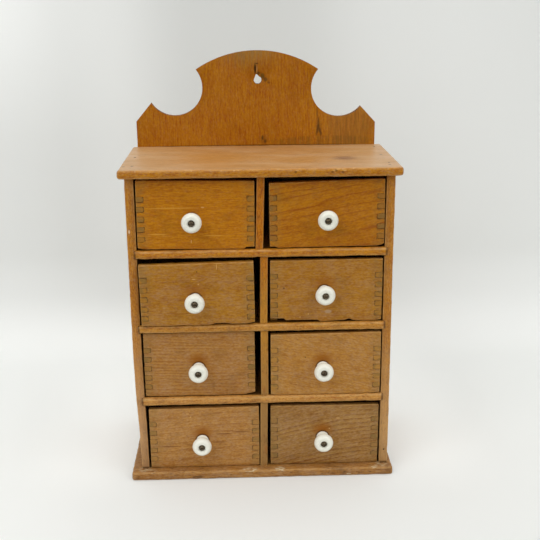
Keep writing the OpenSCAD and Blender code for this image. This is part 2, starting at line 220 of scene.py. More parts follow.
# The paper glows a little, for the camera and in reflections alone: more on the left, toward the wall,
# in the wall's upper corners and along a lane on either side of the case
lane, lane_half = 0.17, 0.1
seen = sum((Wire(paper, ray.outputs[f"Is {kind} Ray"]) for kind in ("Glossy", "Transmission")),
           Wire(paper, ray.outputs["Is Camera Ray"]))
wall = spot["z"].step(0.0, 0.07)
beside = (spot["x"].size() - lane).size().step(lane_half, 0.0)
table_glow = (spot["y"] * 0.15 - spot["x"] * 0.04 + spot["x"].step(-0.12, -0.25) * 0.03 + 0.15
              + beside * spot["y"].step(-0.12, 0.0) * spot["y"].step(0.34, 0.12) * 0.09)
aside = (spot["x"] + 0.03).size().step(0.06, 0.34)
wall_glow = (aside * 0.09 + aside * spot["z"].step(0.25, 0.5) * (0.09 - spot["x"] * 0.25) + 0.02
             + beside * spot["z"].step(0.04, 0.16) * (0.045 - spot["x"] * 0.15))
glow = (table_glow + wall * (wall_glow - table_glow)) * seen.least(1.0)
glow = paper.node("CombineColor", inputs={0: glow, 1: glow, 2: glow * 0.99})
paper.paint(Base_Color=plain(221, 223, 220), Emission_Color=glow)
paper.shader.inputs["Emission Strength"].default_value = 1.0
# A camera behind the wall or below the table looks through it
behind = paper.node("NewGeometry", output="Backfacing") * Wire(paper, ray.outputs["Is Camera Ray"])
open_paper = paper.node("MixShader", inputs={0: behind, 1: Wire(paper, paper.shader.outputs[0]),
                                             2: paper.node("BsdfTransparent")})
paper.feed(paper.tree.nodes["Material Output"].inputs["Surface"], open_paper)
sweep.data.materials.append(paper.material)

# Light
# Wide soft lamps over the front left, the right and the middle, in an even pale room. Below the table's
# edge the room is dark, so the upper drawers and the crest keep their full colour.
world = bpy.data.worlds.new("surround")
world.use_nodes = True
bpy.context.scene.world = world
room = world.node_tree
coordinates = room.nodes.new("ShaderNodeTexCoord")
height = room.nodes.new("ShaderNodeSeparateXYZ")
shade = room.nodes.new("ShaderNodeMapRange")
shade.inputs["From Min"].default_value = -0.12
shade.inputs["From Max"].default_value = 0.08
shade.inputs["To Min"].default_value = 0.08
shade.inputs["To Max"].default_value = 1.0
ray = room.nodes.new("ShaderNodeLightPath")
lift = room.nodes.new("ShaderNodeMath")
lift.operation = "MAXIMUM"
room.links.new(coordinates.outputs["Generated"], height.inputs[0])
room.links.new(height.outputs["Z"], shade.inputs["Value"])
room.links.new(shade.outputs["Result"], lift.inputs[0])
room.links.new(ray.outputs["Is Camera Ray"], lift.inputs[1])
room.links.new(lift.outputs["Value"], room.nodes["Background"].inputs["Color"])
room.nodes["Background"].inputs["Strength"].default_value = 0.7
aim = Vector((0, 0, 0.2))
for name, place, size, power in (
    ("lamp_left", (-0.9, -1.2, 1.5), 1.2, 10.0),
    ("lamp_right", (1.1, -0.9, 1.2), 1.0, 4.5),
    ("lamp_top", (0.1, 0.0, 1.7), 1.2, 5.0),
):
    lamp = bpy.data.lights.new(name, "AREA")
    lamp.size = size
    lamp.energy = power
    lamp_object = bpy.data.objects.new(name, lamp)
    lamp_object.location = place
    lamp_object.rotation_euler = (Vector(place) - aim).to_track_quat("Z", "Y").to_euler()
    bpy.context.collection.objects.link(lamp_object)

# Sides
# Two upright pine boards. Their front arrises are worn round by a century of hands, and the shelf ends
# stand in shallow housings cut across their inner faces. They are glued and nailed to the top and base.
# A dark brown for dirt, also used for painted shade: the contact shadow at the sides' feet and round the
# knobs' feet
DIRT_AND_SHADE = plain(54, 30, 8)
# A pale tan for scuffs, also used for painted highlights on the arrises
SCUFF_AND_HIGHLIGHT = plain(208, 162, 96)
HAZE = plain(180, 150, 116)


def block(name, low, high):
    """A sawn board, from its lowest to its highest corner."""
    low, high = Vector(low), Vector(high)
    deselect_all()
    bpy.ops.mesh.primitive_cube_add(size=1, location=(low + high) / 2)
    board = bpy.context.object
    board.name = name
    board.data.name = name
    board.scale = high - low
    place_in_mesh(board)
    return board


def round_over(board, radius, wanted):
    """Planes those arrises round."""
    pick_edges(board, wanted)
    bpy.ops.mesh.bevel(offset=radius, segments=3, profile=0.5, affect="EDGES")
    bpy.ops.object.mode_set(mode="OBJECT")


def slice_up(board, steps):
    """Cuts the board's faces into squares of about those steps, so that wear can move them."""
    for axis, step in enumerate(steps):
        lengths = [0.0]

        def runs_along(a, b):
            run = b - a
            along = abs(run[axis])
            if along < step * 1.5 or run.length - along > along * 0.02:
                return False
            lengths.append(along)
            return True

        pick_edges(board, runs_along)
        if max(lengths) > 0:
            bpy.ops.mesh.subdivide(number_cuts=max(1, round(max(lengths) / step) - 1))
        bpy.ops.object.mode_set(mode="OBJECT")


def finish_with(board, kind, **settings):
    """Adds a modifier and applies it."""
    only(board)
    modifier = board.modifiers.new(kind.lower(), kind)
    for key, value in settings.items():
        setattr(modifier, key, value)
    bpy.ops.object.modifier_apply(modifier=modifier.name)


def uneven(board, scale, depth, group=""):
    """Moves the surface in and out by a soft cloud pattern, as hand planes and wear leave it."""
    pattern = bpy.data.textures.new("unevenness", "CLOUDS")
    pattern.noise_scale = scale
    pattern.noise_depth = 2
    finish_with(board, "DISPLACE", texture=pattern, strength=depth, mid_level=0.5,
                texture_coords="LOCAL", vertex_group=group)


def arris_group(board, low, high, reach):
    """Names the points that lie close to an arris, for the wear that only these get."""
    group = board.vertex_groups.new(name="arris")
    for point in board.data.vertices:
        near = sum(min(point.co[i] - low[i], high[i] - point.co[i]) < reach for i in range(3))
        if near >= 2:
            group.add([point.index], 1.0, "REPLACE")


def worn_board(name, low, high, arris, steps, nicks, wander=0.35, rounded=lambda a, b: True):
    """A board with rounded, worn arrises and faces that aren't quite flat. Sizes in millimetres: wander is
    how deep the faces' long hollows are, and nicks is how deep the arrises' short ones are."""
    hollow_long, nick_long, past_arris = 60, 7, 0.3
    board = block(name, low, high)
    round_over(board, arris * MM, rounded)
    slice_up(board, [step * MM for step in steps])
    arris_group(board, low, high, (arris + past_arris) * MM)
    uneven(board, hollow_long * MM, wander * MM)
    uneven(board, nick_long * MM, nicks * MM, "arris")
    return board


def cut_away(board, cutter):
    """Cuts the cutter's shape out of the board."""
    finish_with(board, "BOOLEAN", operation="DIFFERENCE", solver="EXACT", object=cutter)
    bpy.data.objects.remove(cutter, do_unlink=True)


def middle_of(node):
    low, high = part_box(node)
    return (low + high) / 2


def reading(points, x):
    """The value at x, between the points of a list."""
    for (x0, value0), (x1, value1) in zip(points, points[1:]):
        if x0 <= x <= x1:
            return value0 + (value1 - value0) * (x - x0) / (x1 - x0)
    return points[0][1] if x < points[0][0] else points[-1][1]


class Timber(Finish):
    """Old varnished wood. along names the axis of the grain and the two across it, such as "xzy". Growth
    rings lie round a pith that is given in millimetres from the board's middle. Each noise has a shift
    of its own, so that no two patterns fall together."""

    def __init__(self, name, middle, along, pale, dark, pith=(-60, 40), spacing=3.4, tilt=0.0, bow=0.0,
                 warp=6.0, rings=0.3, line=0.33, fibres=1.5, mottling=1.3, haze=0.25, bloom=0.7,
                 roughness=0.45, polish=0.35, seed=0.0):
        super().__init__(name, IOR=1.45, Specular_IOR_Level=polish)
        self.middle, self.seed, self.along = middle, seed, along
        away = self.node("VectorMath", {"operation": "SUBTRACT"},
                         {0: self.node("TexCoord", output=3), 1: middle})
        self.place = self.node("VectorMath", {"operation": "SCALE"}, {0: away, 3: 1 / MM})
        self.at = self.apart(self.place)
        across, up, deep = (self.at[letter] for letter in along)
        turn = math.radians(tilt)
        self.grain = (across * math.cos(turn) + up * math.sin(turn),
                      up * math.cos(turn) - across * math.sin(turn), deep)
        _, v, w = self.grain

        # The trunk's own bends move the rings sideways
        drift = (self.noise(150, 45, 45) - 0.5) * (warp * 4) + (self.noise(38, 14, 14, shift=7) - 0.5) * warp
        bend = self.grain[0] ** 2 * bow
        radius = ((v + drift + bend - pith[0]) ** 2 + (w - pith[1]) ** 2) ** 0.5
        phase = radius * (1 / spacing) + self.noise(400, 20, 20, shift=3) * 1.5
        late = 0.88
        stops = [(0.0, 0.15), (late - line, 0.3), (late - line * 0.3, 0.6), (late, 1.0), (1.0, 0.15)]
        ring = self.node("ValToRGB", {"stops": stops}, {0: phase.fraction()})
        ring = self.node("RGBToBW", inputs={0: ring}) - 0.4
        ring = ring * (self.noise(90, 18, 18, shift=11).step(0.35, 0.65) * 0.7 + 0.3)

        # Fine fibres, broader streaks, mottling, short pores and slow changes from end to end
        fibre = self.noise(9, 1.1, 1.1, 1.0, shift=5) - 0.5
        streak = self.noise(50, 3.0, 3.0, 2.0, 0.55, shift=17) - 0.5
        mottle = self.noise(2.2, 1.4, 1.4, 1.0, shift=23) - 0.5
        pore = self.noise(5.5, 0.8, 0.8, 1.0, shift=29).step(0.64, 0.72)
        blotch = self.noise(60, 28, 28, 2.0, 0.5, shift=31) - 0.5
        tone = (ring * rings + fibre * fibres + streak * (fibres * 0.35) + mottle * mottling + pore * 0.25
                + blotch * 0.6 + 0.43)
        self.colour = self.mix(tone.most(0.0).least(1.0), pale, dark)
        dull = self.noise(14, 10, 10, 3.0, 0.65, shift=37).step(0.3, 0.8)
        greyed = self.noise(3.2, 1.5, 1.5, 1.0, shift=43) - 0.5
        self.tint((dull * haze + greyed * bloom).most(0.0), HAZE)
        self.gloss = fibre * 0.25 + blotch * 0.25 + dull * 0.12 + roughness
        self.height = fibre * 0.6 + ring * 0.3 - pore * 0.5
        self.facing = self.apart(Wire(self, self.tree.nodes.new("ShaderNodeNewGeometry").outputs["Normal"]))

    def noise(self, along, across, deep, detail=1.0, rough=0.5, shift=0.0):
        """Soft noise with its lengths in millimetres along and across the grain."""
        u, v, w = self.grain
        spot = self.node("CombineXYZ", inputs={0: u * (1 / along) + (self.seed + shift),
                                               1: v * (1 / across), 2: w * (1 / deep)})
        return self.node("TexNoise", inputs={"Vector": spot, "Scale": 1.0, "Detail": detail,
                                             "Roughness": rough})

    def tint(self, share, colour):
        self.colour = self.mix(share, self.colour, colour)

    def spot(self, place, reach, soft=0.6):
        """1 within a round or long spot, in millimetres, and 0 outside of it."""
        scaled = [1 / r for r in reach]
        here = [(place[i] - self.middle[i] / MM) * scaled[i] for i in range(3)]
        away = self.node("VectorMath", {"operation": "MULTIPLY"}, {0: self.place, 1: scaled})
        return self.node("VectorMath", {"operation": "DISTANCE"}, {0: away, 1: here}, 1).step(1.0, 1.0 - soft)

    def tint_arrises(self, share, colour=SCUFF_AND_HIGHLIGHT):
        """Rounded arrises are painted paler, in patches: partly rubbed wear and partly a painted highlight.
        """
        flat = self.facing["x"].size().most(self.facing["y"].size()).most(self.facing["z"].size())
        patches = self.noise(7, 3, 3, 2.0, shift=41).step(0.3, 0.65) * 0.8 + 0.2
        self.tint(flat.step(0.985, 0.86) * patches * share, colour)

    def darken_ends(self, share, colour=DIRT_AND_SHADE):
        """Cut ends drink more varnish."""
        self.tint(self.facing[self.along[0]].size().step(0.7, 0.95) * share, colour)

    def soil(self, share, colour=DIRT_AND_SHADE):
        self.tint(self.noise(22, 16, 16, 3.0, 0.6, shift=51).step(0.5, 0.78) * share, colour)
        self.tint(self.noise(4, 1.6, 1.6, 1.0, shift=53).step(0.6, 0.75) * share, colour)

    def darken_mouth(self, inward, front):
        """Faces inside an opening are made darker near its mouth. inward is 1 on them, and front is the
        mouth's place in millimetres."""
        depth = self.at["y"] - front
        self.tint(inward.step(0.5, 0.95) * depth.step(0.5, 2.5) * depth.step(40, 5) * 0.8, DIRT_AND_SHADE)

    def seal(self):
        """Joins all that was said of the surface to the shader."""
        bump = self.node("Bump", inputs={"Strength": 0.3, "Distance": 0.25 * MM, "Height": self.height})
        self.paint(Base_Color=self.colour, Roughness=self.gloss, Normal=bump)


def hand_over(board, finish, body, slot, *nodes, angle=35):
    """Gives a finished piece its shading, material and body, and hides the plain solids that it
    stands for. Its slot argument is not used."""
    only(board)
    bpy.ops.object.shade_smooth_by_angle(angle=math.radians(angle))
    board.data.materials.clear()
    board.data.materials.append(finish.material)
    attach(board, body)
    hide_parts(*nodes)


SHELVES = ("shelf_1", "shelf_2", "shelf_3")
housing_deep, housing_reach = 2.5, 10
# How far each front edge has wandered to the right with age and wear, as heights and how far there.
# The inner arris went a smaller share of the way, and only the boards' front strips moved.
SWERVES = {
    "left_side": ((9, 2.9), (58, 1.9), (84, 0.5), (130, -0.4), (185, -0.4), (260, 0)),
    "right_side": ((9, 1.25), (98, 0.95), (230, 0)),
}
inner_share, swerve_deep = 0.65, 24
for name, hand, seed, low_colour in (
    ("left_side", -1, 2.0, (197, 162, 122)),
    ("right_side", 1, 9.0, (197, 162, 112)),
):
    low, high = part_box(name)
    middle = middle_of(name)
    outer, inner = (low.x, high.x) if hand < 0 else (high.x, low.x)
    board = worn_board(name + "_board", low, high, 1.3, steps=(4, 4, 4), nicks=0.8,
                       rounded=lambda a, b: max(a.y, b.y) < low.y + MM and abs(a.z - b.z) > MM)
    for point in board.data.vertices:
        forward = max(0.0, 1 - (point.co.y - low.y) / (swerve_deep * MM))
        outward = 1 - (1 - inner_share) * abs(point.co.x - outer) / (high.x - low.x)
        point.co.x += reading(SWERVES[name], point.co.z / MM) * MM * forward * outward
    for shelf in SHELVES:
        shelf_low, shelf_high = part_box(shelf)
        bed = inner + hand * housing_deep * MM
        span = sorted((bed, bed - hand * housing_reach * MM))
        cut_away(board, block("housing", (span[0], low.y - MM, shelf_low.z),
                              (span[1], high.y + MM, shelf_high.z)))
    timber = Timber(name + "_wood", middle, "zyx", plain(190, 126, 26), plain(156, 89, 0),
                    pith=(-80, 30 * hand), seed=seed, rings=0.3, haze=0.2, mottling=2.2, bloom=0.7)
    # It is paler toward the foot, partly wear and partly painted light bounced up from the table, and darkens
    # toward the inner face and the base, with dirt and a painted contact shadow in the joint below
    low_down = timber.at["z"].step(40, -130)
    timber.tint(low_down * 0.52, plain(*low_colour))
    timber.tint((timber.at["x"] * -hand).step(-1.5, 4.5) * 0.3, plain(110, 72, 32))
    timber.tint(timber.at["z"].step(-112, -142) * 0.22, plain(100, 66, 34))
    timber.tint(timber.at["z"].step(-149.3, -151) * 0.7, DIRT_AND_SHADE)
    timber.tint_arrises(0.5)
    timber.soil(0.25)
    timber.darken_mouth(timber.facing["x"] * -hand, (low.y - middle.y) / MM)
    for shelf in SHELVES:
        joint = (inner / MM, low.y / MM, middle_of(shelf).z / MM)
        timber.tint(timber.spot(joint, (3, 6, 7)) * 0.45, DIRT_AND_SHADE)
    # A dark dot low on the right board's front edge, and a pale scuff high on the left one's
    if hand > 0:
        timber.tint(timber.spot((125.8, low.y / MM, 24.8), (1.1, 4, 1.1), 0.3) * 0.9, DIRT_AND_SHADE)
    else:
        timber.tint(timber.spot((-124.9, low.y / MM, 262), (1.1, 4, 2.6), 0.6) * 0.75, plain(230, 206, 172))
    timber.darken_ends(0.5)
    timber.seal()
    hand_over(board, timber, "case", "case_wood", name)

# Shelves
# Three thin boards whose rounded noses stand a little in front of the sides. Their ends show in the
# housings, and the drawers have rubbed their upper arrises pale; the pale arrises are partly a painted
# highlight.
SHELF_WOODS = {
    "shelf_1": ((198, 132, 6), (164, 91, 0), 4.0),
    "shelf_2": ((196, 138, 48), (161, 98, 14), 13.0),
    "shelf_3": ((201, 146, 68), (166, 105, 35), 21.0),
}
for name, (pale, dark, seed) in SHELF_WOODS.items():
    low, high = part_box(name)
    middle = middle_of(name)
    board = worn_board(name + "_board", low, high, 3.0, steps=(3, 4, 4), nicks=1.0,
                       rounded=lambda a, b: max(a.y, b.y) < low.y + MM and abs(a.x - b.x) > MM)
    timber = Timber(name + "_wood", middle, "xyz", plain(*pale), plain(*dark), pith=(10, -70),
                    seed=seed, rings=0.35, haze=0.12, mottling=2.3, bloom=0.6, roughness=0.4)
    # Darker patches of thick varnish, and dirt where the nose meets the sides
    timber.tint(timber.noise(9, 3, 3, 2.0, shift=61).step(0.56, 0.72) * 0.45, plain(140, 68, 2))
    timber.tint_arrises(0.6)
    timber.soil(0.35)
    timber.darken_mouth(timber.facing["z"].size(), (low.y - middle.y) / MM + 3)
    for end in (low.x, high.x):
        timber.tint(timber.spot((end / MM, low.y / MM, middle.z / MM), (2.5, 8, 9)) * 0.7, DIRT_AND_SHADE)
    timber.seal()
    hand_over(board, timber, "case", "case_wood", name)

# Dividers
# Four short uprights, one in each row, each leaning a little, with worn front arrises. They are butted
# against the boards above and below, and nailed through the backboard.


def clad(node, finish):
    """Gives a solid that keeps its own shape its material."""
    materials = frame["nodes"][node].data.materials
    materials.clear()
    materials.append(finish.material)


middle = middle_of("dividers")
timber = Timber("dividers_wood", middle, "zyx", plain(190, 118, 4), plain(156, 78, 0), pith=(-60, 20),
                seed=33.0, rings=0.4, haze=0.08, mottling=2.3, bloom=0.6, polish=0.2)
# From warm in the top row to greyish brown in the lowest, partly wear and partly painted light bounced up
# from the table, with darker patches of thick varnish
timber.tint(timber.at["z"].step(80, 20) * 0.5, plain(188, 142, 56))
timber.tint(timber.at["z"].step(20, -110) * 0.8, plain(146, 110, 66))
timber.tint(timber.noise(14, 4, 4, 2.0, shift=61).step(0.58, 0.7) * 0.4, plain(150, 74, 4))
timber.tint_arrises(0.5)
timber.soil(0.4)
timber.darken_mouth(timber.facing["x"].size(), (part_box("dividers")[0].y - middle.y) / MM)
timber.seal()
clad("dividers", timber)

# Base board
# The widest board, darker and greyer than the rest from a century of mopping. The sides stand on it,
# and all its arrises but those along the back are rounded.
low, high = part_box("base_board")
board = worn_board("base_board_plank", low, high, 2.4, steps=(3, 4, 4), nicks=0.7,
                   rounded=lambda a, b: a.y + b.y < low.y + high.y + MM)
timber = Timber("base_wood", middle_of("base_board"), "xyz", plain(172, 121, 56), plain(126, 76, 20),
                pith=(30, -50), seed=55.0, rings=0.5, haze=0.3, fibres=1.9, mottling=0.9, bloom=0.8)
timber.tint_arrises(0.35)
timber.soil(0.5)
# Old paint in flecks, round the feet of the sides and the lowest divider, and one on the front edge
flecks = timber.noise(4.5, 1.6, 1.6, 1.0, shift=73).step(0.44, 0.58)
for place, reach, share in (
    ((18, 1, 9.4), (9, 7, 2.6), 0.75),
    ((114.7, 1, 9.4), (6, 7, 2.4), 0.6),
    ((89, 1, 2.4), (3.2, 6, 1.4), 0.75),
    ((-13, 1, 9.4), (10, 7, 2.6), 0.75),
    ((-113.1, 2, 9.4), (6, 6, 2.4), 0.5),
    ((-121, 7, 9.6), (8, 7, 4), 0.6),
    ((123, 7, 9.6), (8, 7, 4), 0.6),
):
    x, behind_front, z = place
    fleck = timber.spot((x, low.y / MM + behind_front, z), reach, 0.5)
    timber.tint(fleck * flecks * share, plain(206, 190, 154))
# A dark stain low on the front edge
timber.tint(timber.spot((-66.6, low.y / MM, 3.1), (7, 6, 1.6)) * 0.6, DIRT_AND_SHADE)
timber.darken_ends(0.35)
timber.seal()
hand_over(board, timber, "case", "base_wood", "base_board")

# Top board
# The varnish has gone from most of its upper face, which is painted paler than its rounded front and end
# arrises: partly that wear and partly a painted sheen.
# It lies on the sides, nailed down into them near its ends.
low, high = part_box("top_board")
board = worn_board("top_board_plank", low, high, 2.4, steps=(3, 4, 4), nicks=0.7,
                   rounded=lambda a, b: a.y + b.y < low.y + high.y + MM)
timber = Timber("top_wood", middle_of("top_board"), "xyz", plain(191, 127, 17), plain(156, 86, 0),
                pith=(20, -60), seed=71.0, rings=0.3, haze=0.15, mottling=1.9, bloom=0.9, roughness=0.36)
# The upper face is painted pale, partly worn and partly a painted sheen, still amber left of the middle,
# with a dark round stain on the right
upper_face = timber.facing["z"].step(0.75, 0.98)
toward_ends = timber.at["x"].size().step(50, 140)
timber.tint(upper_face * (toward_ends * 0.35 + 0.4), plain(198, 160, 114))
timber.tint(upper_face * timber.noise(60, 16, 16, 3.0, 0.6, shift=61).step(0.4, 0.75) * 0.4, plain(208, 176, 138))
timber.tint(upper_face * timber.spot((-48, -8, 322.4), (58, 60, 20), 0.9) * 0.45, plain(188, 126, 48))
timber.tint(timber.spot((85.4, -12.6, 322.4), (18, 17, 8), 0.9) * 0.62, plain(104, 66, 48))
timber.tint_arrises(0.35)
# Pale speckles on the arrises: partly worn and partly a painted highlight
speckle = timber.noise(3, 1.5, 1.5, 1.0, shift=67).step(0.6, 0.72)
timber.tint_arrises(speckle * 0.5, plain(226, 196, 150))
timber.soil(0.15)
# Bruises in the front arris, each dark with a pale rim, and dark dots near the ends of the upper face
for x, z in ((67.5, 318.8), (77.3, 318.7), (33.3, 319.2), (71.0, 320.0)):
    timber.tint(timber.spot((x, low.y / MM, z), (1.8, 5, 1.2), 0.5) * 0.6, DIRT_AND_SHADE)
    timber.tint(timber.spot((x + 1.5, low.y / MM, z + 1.4), (2.0, 5, 0.8), 0.5) * 0.6, SCUFF_AND_HIGHLIGHT)
for x, y in ((123.9, 6.2), (123.6, -50.1), (-120.8, -42.0), (-128.6, -44.5)):
    timber.tint(timber.spot((x, y, 322.4), (2.0, 2.4, 4), 0.5) * 0.7, DIRT_AND_SHADE)
timber.darken_ends(0.2)
timber.seal()
hand_over(board, timber, "case", "top_wood", "top_board")

# Backboard and crest
# One wide board behind the case. Its crest is sawn with a fretsaw: an arch between two ears, two round
# cuts, two peaks and sloping shoulders. The nail that it hung on has worn the hole upwards into a drop.
node = frame["nodes"]["backboard"]
board = node.copy()
board.data = node.data.copy()
board.animation_data_clear()
board.parent = None
board.name = "crested_backboard"
bpy.context.collection.objects.link(board)
only(board)
bpy.ops.object.mode_set(mode="EDIT")
bpy.ops.mesh.select_all(action="SELECT")
bpy.ops.mesh.remove_doubles(threshold=0.01 * MM)
bpy.ops.mesh.dissolve_limited(angle_limit=math.radians(1))
bpy.ops.object.mode_set(mode="OBJECT")
low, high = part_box("backboard")
hole_x, hole_z, hole_half, above_hole = 2.0, 391.4, 3.6, 1.6
tip_x, tip_z, tip_half = 0.6, 397.6, 0.5
past_faces = 5
notch = block("notch", ((hole_x - hole_half) * MM, low.y - past_faces * MM, hole_z * MM),
              ((hole_x + hole_half) * MM, high.y + past_faces * MM, tip_z * MM))
for point in notch.data.vertices:
    if point.co.z > (hole_z + 1) * MM:
        point.co.x = (tip_x + (tip_half if point.co.x > hole_x * MM else -tip_half)) * MM
    else:
        point.co.z += above_hole * MM
cut_away(board, notch)
finish_with(board, "BEVEL", width=0.5 * MM, segments=2, limit_method="ANGLE", angle_limit=math.radians(50))
timber = Timber("crest_wood", middle_of("backboard"), "zxy", plain(174, 112, 12), plain(146, 74, 0),
                pith=(-150, 60), seed=88.0, rings=0.5, line=0.25, fibres=1.4, mottling=1.1, haze=0.02,
                bloom=0.3, roughness=0.42, polish=0.12)
# Wear on the crest: a greyed head, fine dark streaks on the dull right ear and more along the foot's
# right half, and a dark line where it meets the top board
face = low.y / MM
timber.soil(0.15, plain(96, 58, 14))
comb = timber.noise(24, 1.5, 1.5, 1.0, shift=91).step(0.42, 0.6)
timber.tint(timber.spot((-8, face, 424), (44, 6, 30), 0.9) * (comb * 0.3 + 0.3), plain(130, 112, 68))
timber.tint(timber.spot((100, face, 345), (34, 6, 40), 0.6) * 0.35, plain(158, 112, 52))
timber.tint(timber.spot((76, face, 326.5), (68, 6, 7), 0.35) * (comb * 0.34 + 0.06), plain(96, 72, 22))
fine_comb = timber.noise(24, 1.0, 1.0, 1.0, shift=93).step(0.42, 0.58)
timber.tint(timber.spot((100, face, 340), (32, 6, 34), 0.6) * fine_comb * 0.4, plain(110, 74, 24))
timber.tint(timber.spot((0, face, 322.4), (140, 6, 1.5), 0.4) * 0.6, plain(70, 40, 10))
# The back was never varnished and has gone dusty
bare_back = timber.facing["y"].step(0.5, 0.9)
dust = timber.noise(50, 22, 22, 3.0, 0.6, shift=97).step(0.4, 0.75)
timber.tint(bare_back * 0.55, plain(168, 130, 84))
timber.tint(bare_back * dust * 0.35, plain(96, 68, 40))
# Cracks, the stain that runs from the hole, and the knot at the crest's foot
for place, reach, share, colour in (
    ((8.0, 328.6), (6.0, 7.0), 0.35, plain(96, 60, 18)),
    ((6.6, 330.8), (1.7, 3.8), 0.7, plain(70, 46, 16)),
    ((9.4, 327.0), (1.9, 2.8), 0.65, plain(70, 46, 16)),
    ((65.0, 357.0), (1.2, 9.0), 0.5, plain(66, 44, 16)),
    ((66.8, 342.0), (5.0, 12.0), 0.3, plain(96, 60, 18)),
    ((66.5, 347.0), (1.6, 8.0), 0.55, plain(66, 44, 16)),
    ((66.4, 341.6), (2.4, 4.4), 0.65, plain(66, 44, 16)),
    ((65.4, 338.0), (1.7, 4.0), 0.6, plain(66, 44, 16)),
    ((64.6, 334.6), (1.5, 3.6), 0.5, plain(66, 44, 16)),
    ((68.0, 338.0), (1.8, 4.0), 0.65, plain(66, 44, 16)),
    ((69.2, 334.6), (1.8, 3.8), 0.65, plain(66, 44, 16)),
    ((-0.6, 403.4), (1.6, 7.6), 0.95, plain(40, 28, 12)),
    ((1.2, 408.6), (2.2, 1.1), 0.7, plain(60, 42, 16)),
    ((2.6, 398.6), (3.4, 2.6), 0.7, plain(60, 42, 16)),
    ((1.3, 402.0), (0.7, 5.0), 0.5, plain(196, 160, 104)),
    ((7.0, 395.6), (3.4, 4.4), 0.8, plain(92, 70, 26)),
    ((10.2, 392.2), (3.4, 3.6), 0.75, plain(92, 62, 20)),
    ((13.6, 388.8), (2.2, 2.0), 0.6, plain(98, 52, 12)),
):
    timber.tint(timber.spot((place[0], face, place[1]), (reach[0], 6, reach[1]), 0.7) * share, colour)
timber.tint_arrises(0.75, plain(84, 50, 16))
timber.darken_ends(0.35)
timber.seal()
hand_over(board, timber, "case", "crest_wood", "backboard")

# Nails
# Wire nails through the top, the base, the sides and the backboard. Their small heads lie flush and
# have gone dark with rust.


def speckle_of(finish, scale, detail):
    """Fine noise of the same grain all over a piece."""
    where = finish.node("TexCoord", output=3)
    return finish.node("TexNoise", inputs={"Vector": where, "Scale": scale, "Detail": detail})


rust = Finish("nail_rust", Metallic=0.6)
speckle = speckle_of(rust, 1500.0, 3.0)
rust.paint(Base_Color=rust.mix(speckle, plain(70, 52, 40), plain(24, 19, 17)),
           Roughness=speckle * 0.3 + 0.5)
clad("case_nails", rust)

# Drawer boxes
# Eight boxes: side boards with five fingers at each end, a back and a thin bottom in grooves. The boards
# inside were never varnished, and only the finger ends that come through the fronts have gone dark.
DRAWERS = sorted(body for body in frame["bodies"] if body.startswith("drawer_"))
# The colours of the finger ends that show in each front
FINGER_ENDS = {
    "drawer_1l": (158, 104, 14), "drawer_1r": (146, 94, 14),
    "drawer_2l": (160, 108, 24), "drawer_2r": (156, 106, 26),
    "drawer_3l": (150, 106, 42), "drawer_3r": (170, 120, 48),
    "drawer_4l": (162, 116, 54), "drawer_4r": (146, 106, 52),
}
for number, drawer in enumerate(DRAWERS):
    for part, along, pale, dark, seed in (
        ("sides", "yzx", (198, 154, 90), (152, 108, 52), 105.0),
        ("back", "xzy", (192, 148, 86), (146, 104, 50), 104.0),
        ("bottom", "xyz", (202, 162, 100), (158, 118, 62), 106.0),
    ):
        name = f"{drawer}_{part}"
        timber = Timber(name + "_wood", middle_of(name), along, plain(*pale), plain(*dark), pith=(-30, 50),
                        seed=seed + 7 * number, roughness=0.6, haze=0.2)
        timber.soil(0.25)
        if part == "sides":
            olive = timber.noise(8, 8, 8, shift=83).step(0.42, 0.62)
            timber.darken_ends(0.92, plain(*FINGER_ENDS[drawer]))
            timber.darken_ends(olive * 0.5, plain(116, 94, 48))
        timber.seal()
        clad(name, timber)

# Drawer fronts
# Each front is cut to its own opening by hand, and none is quite square. Side fingers come through
# their sockets at both ends, and the lower edges are chipped from sliding on the shelves.
# How far a front leans, in degrees
ROLLS = {"drawer_1l": -0.5, "drawer_1r": 0.5, "drawer_2l": 0.7, "drawer_4r": -0.2}
# How high the lowest finger stands above each front's foot
FINGER_FEET = {
    "drawer_1l": 7.5, "drawer_2l": 5.5, "drawer_3l": 8.4, "drawer_4l": 7.8,
    "drawer_1r": 7.5, "drawer_2r": 6.0, "drawer_3r": 6.9, "drawer_4r": 8.1,
}
fingers, finger_high, finger_pitch, finger_round, finger_gap, side_thick = 5, 4.8, 9.8, 1.8, 0.25, 7.0
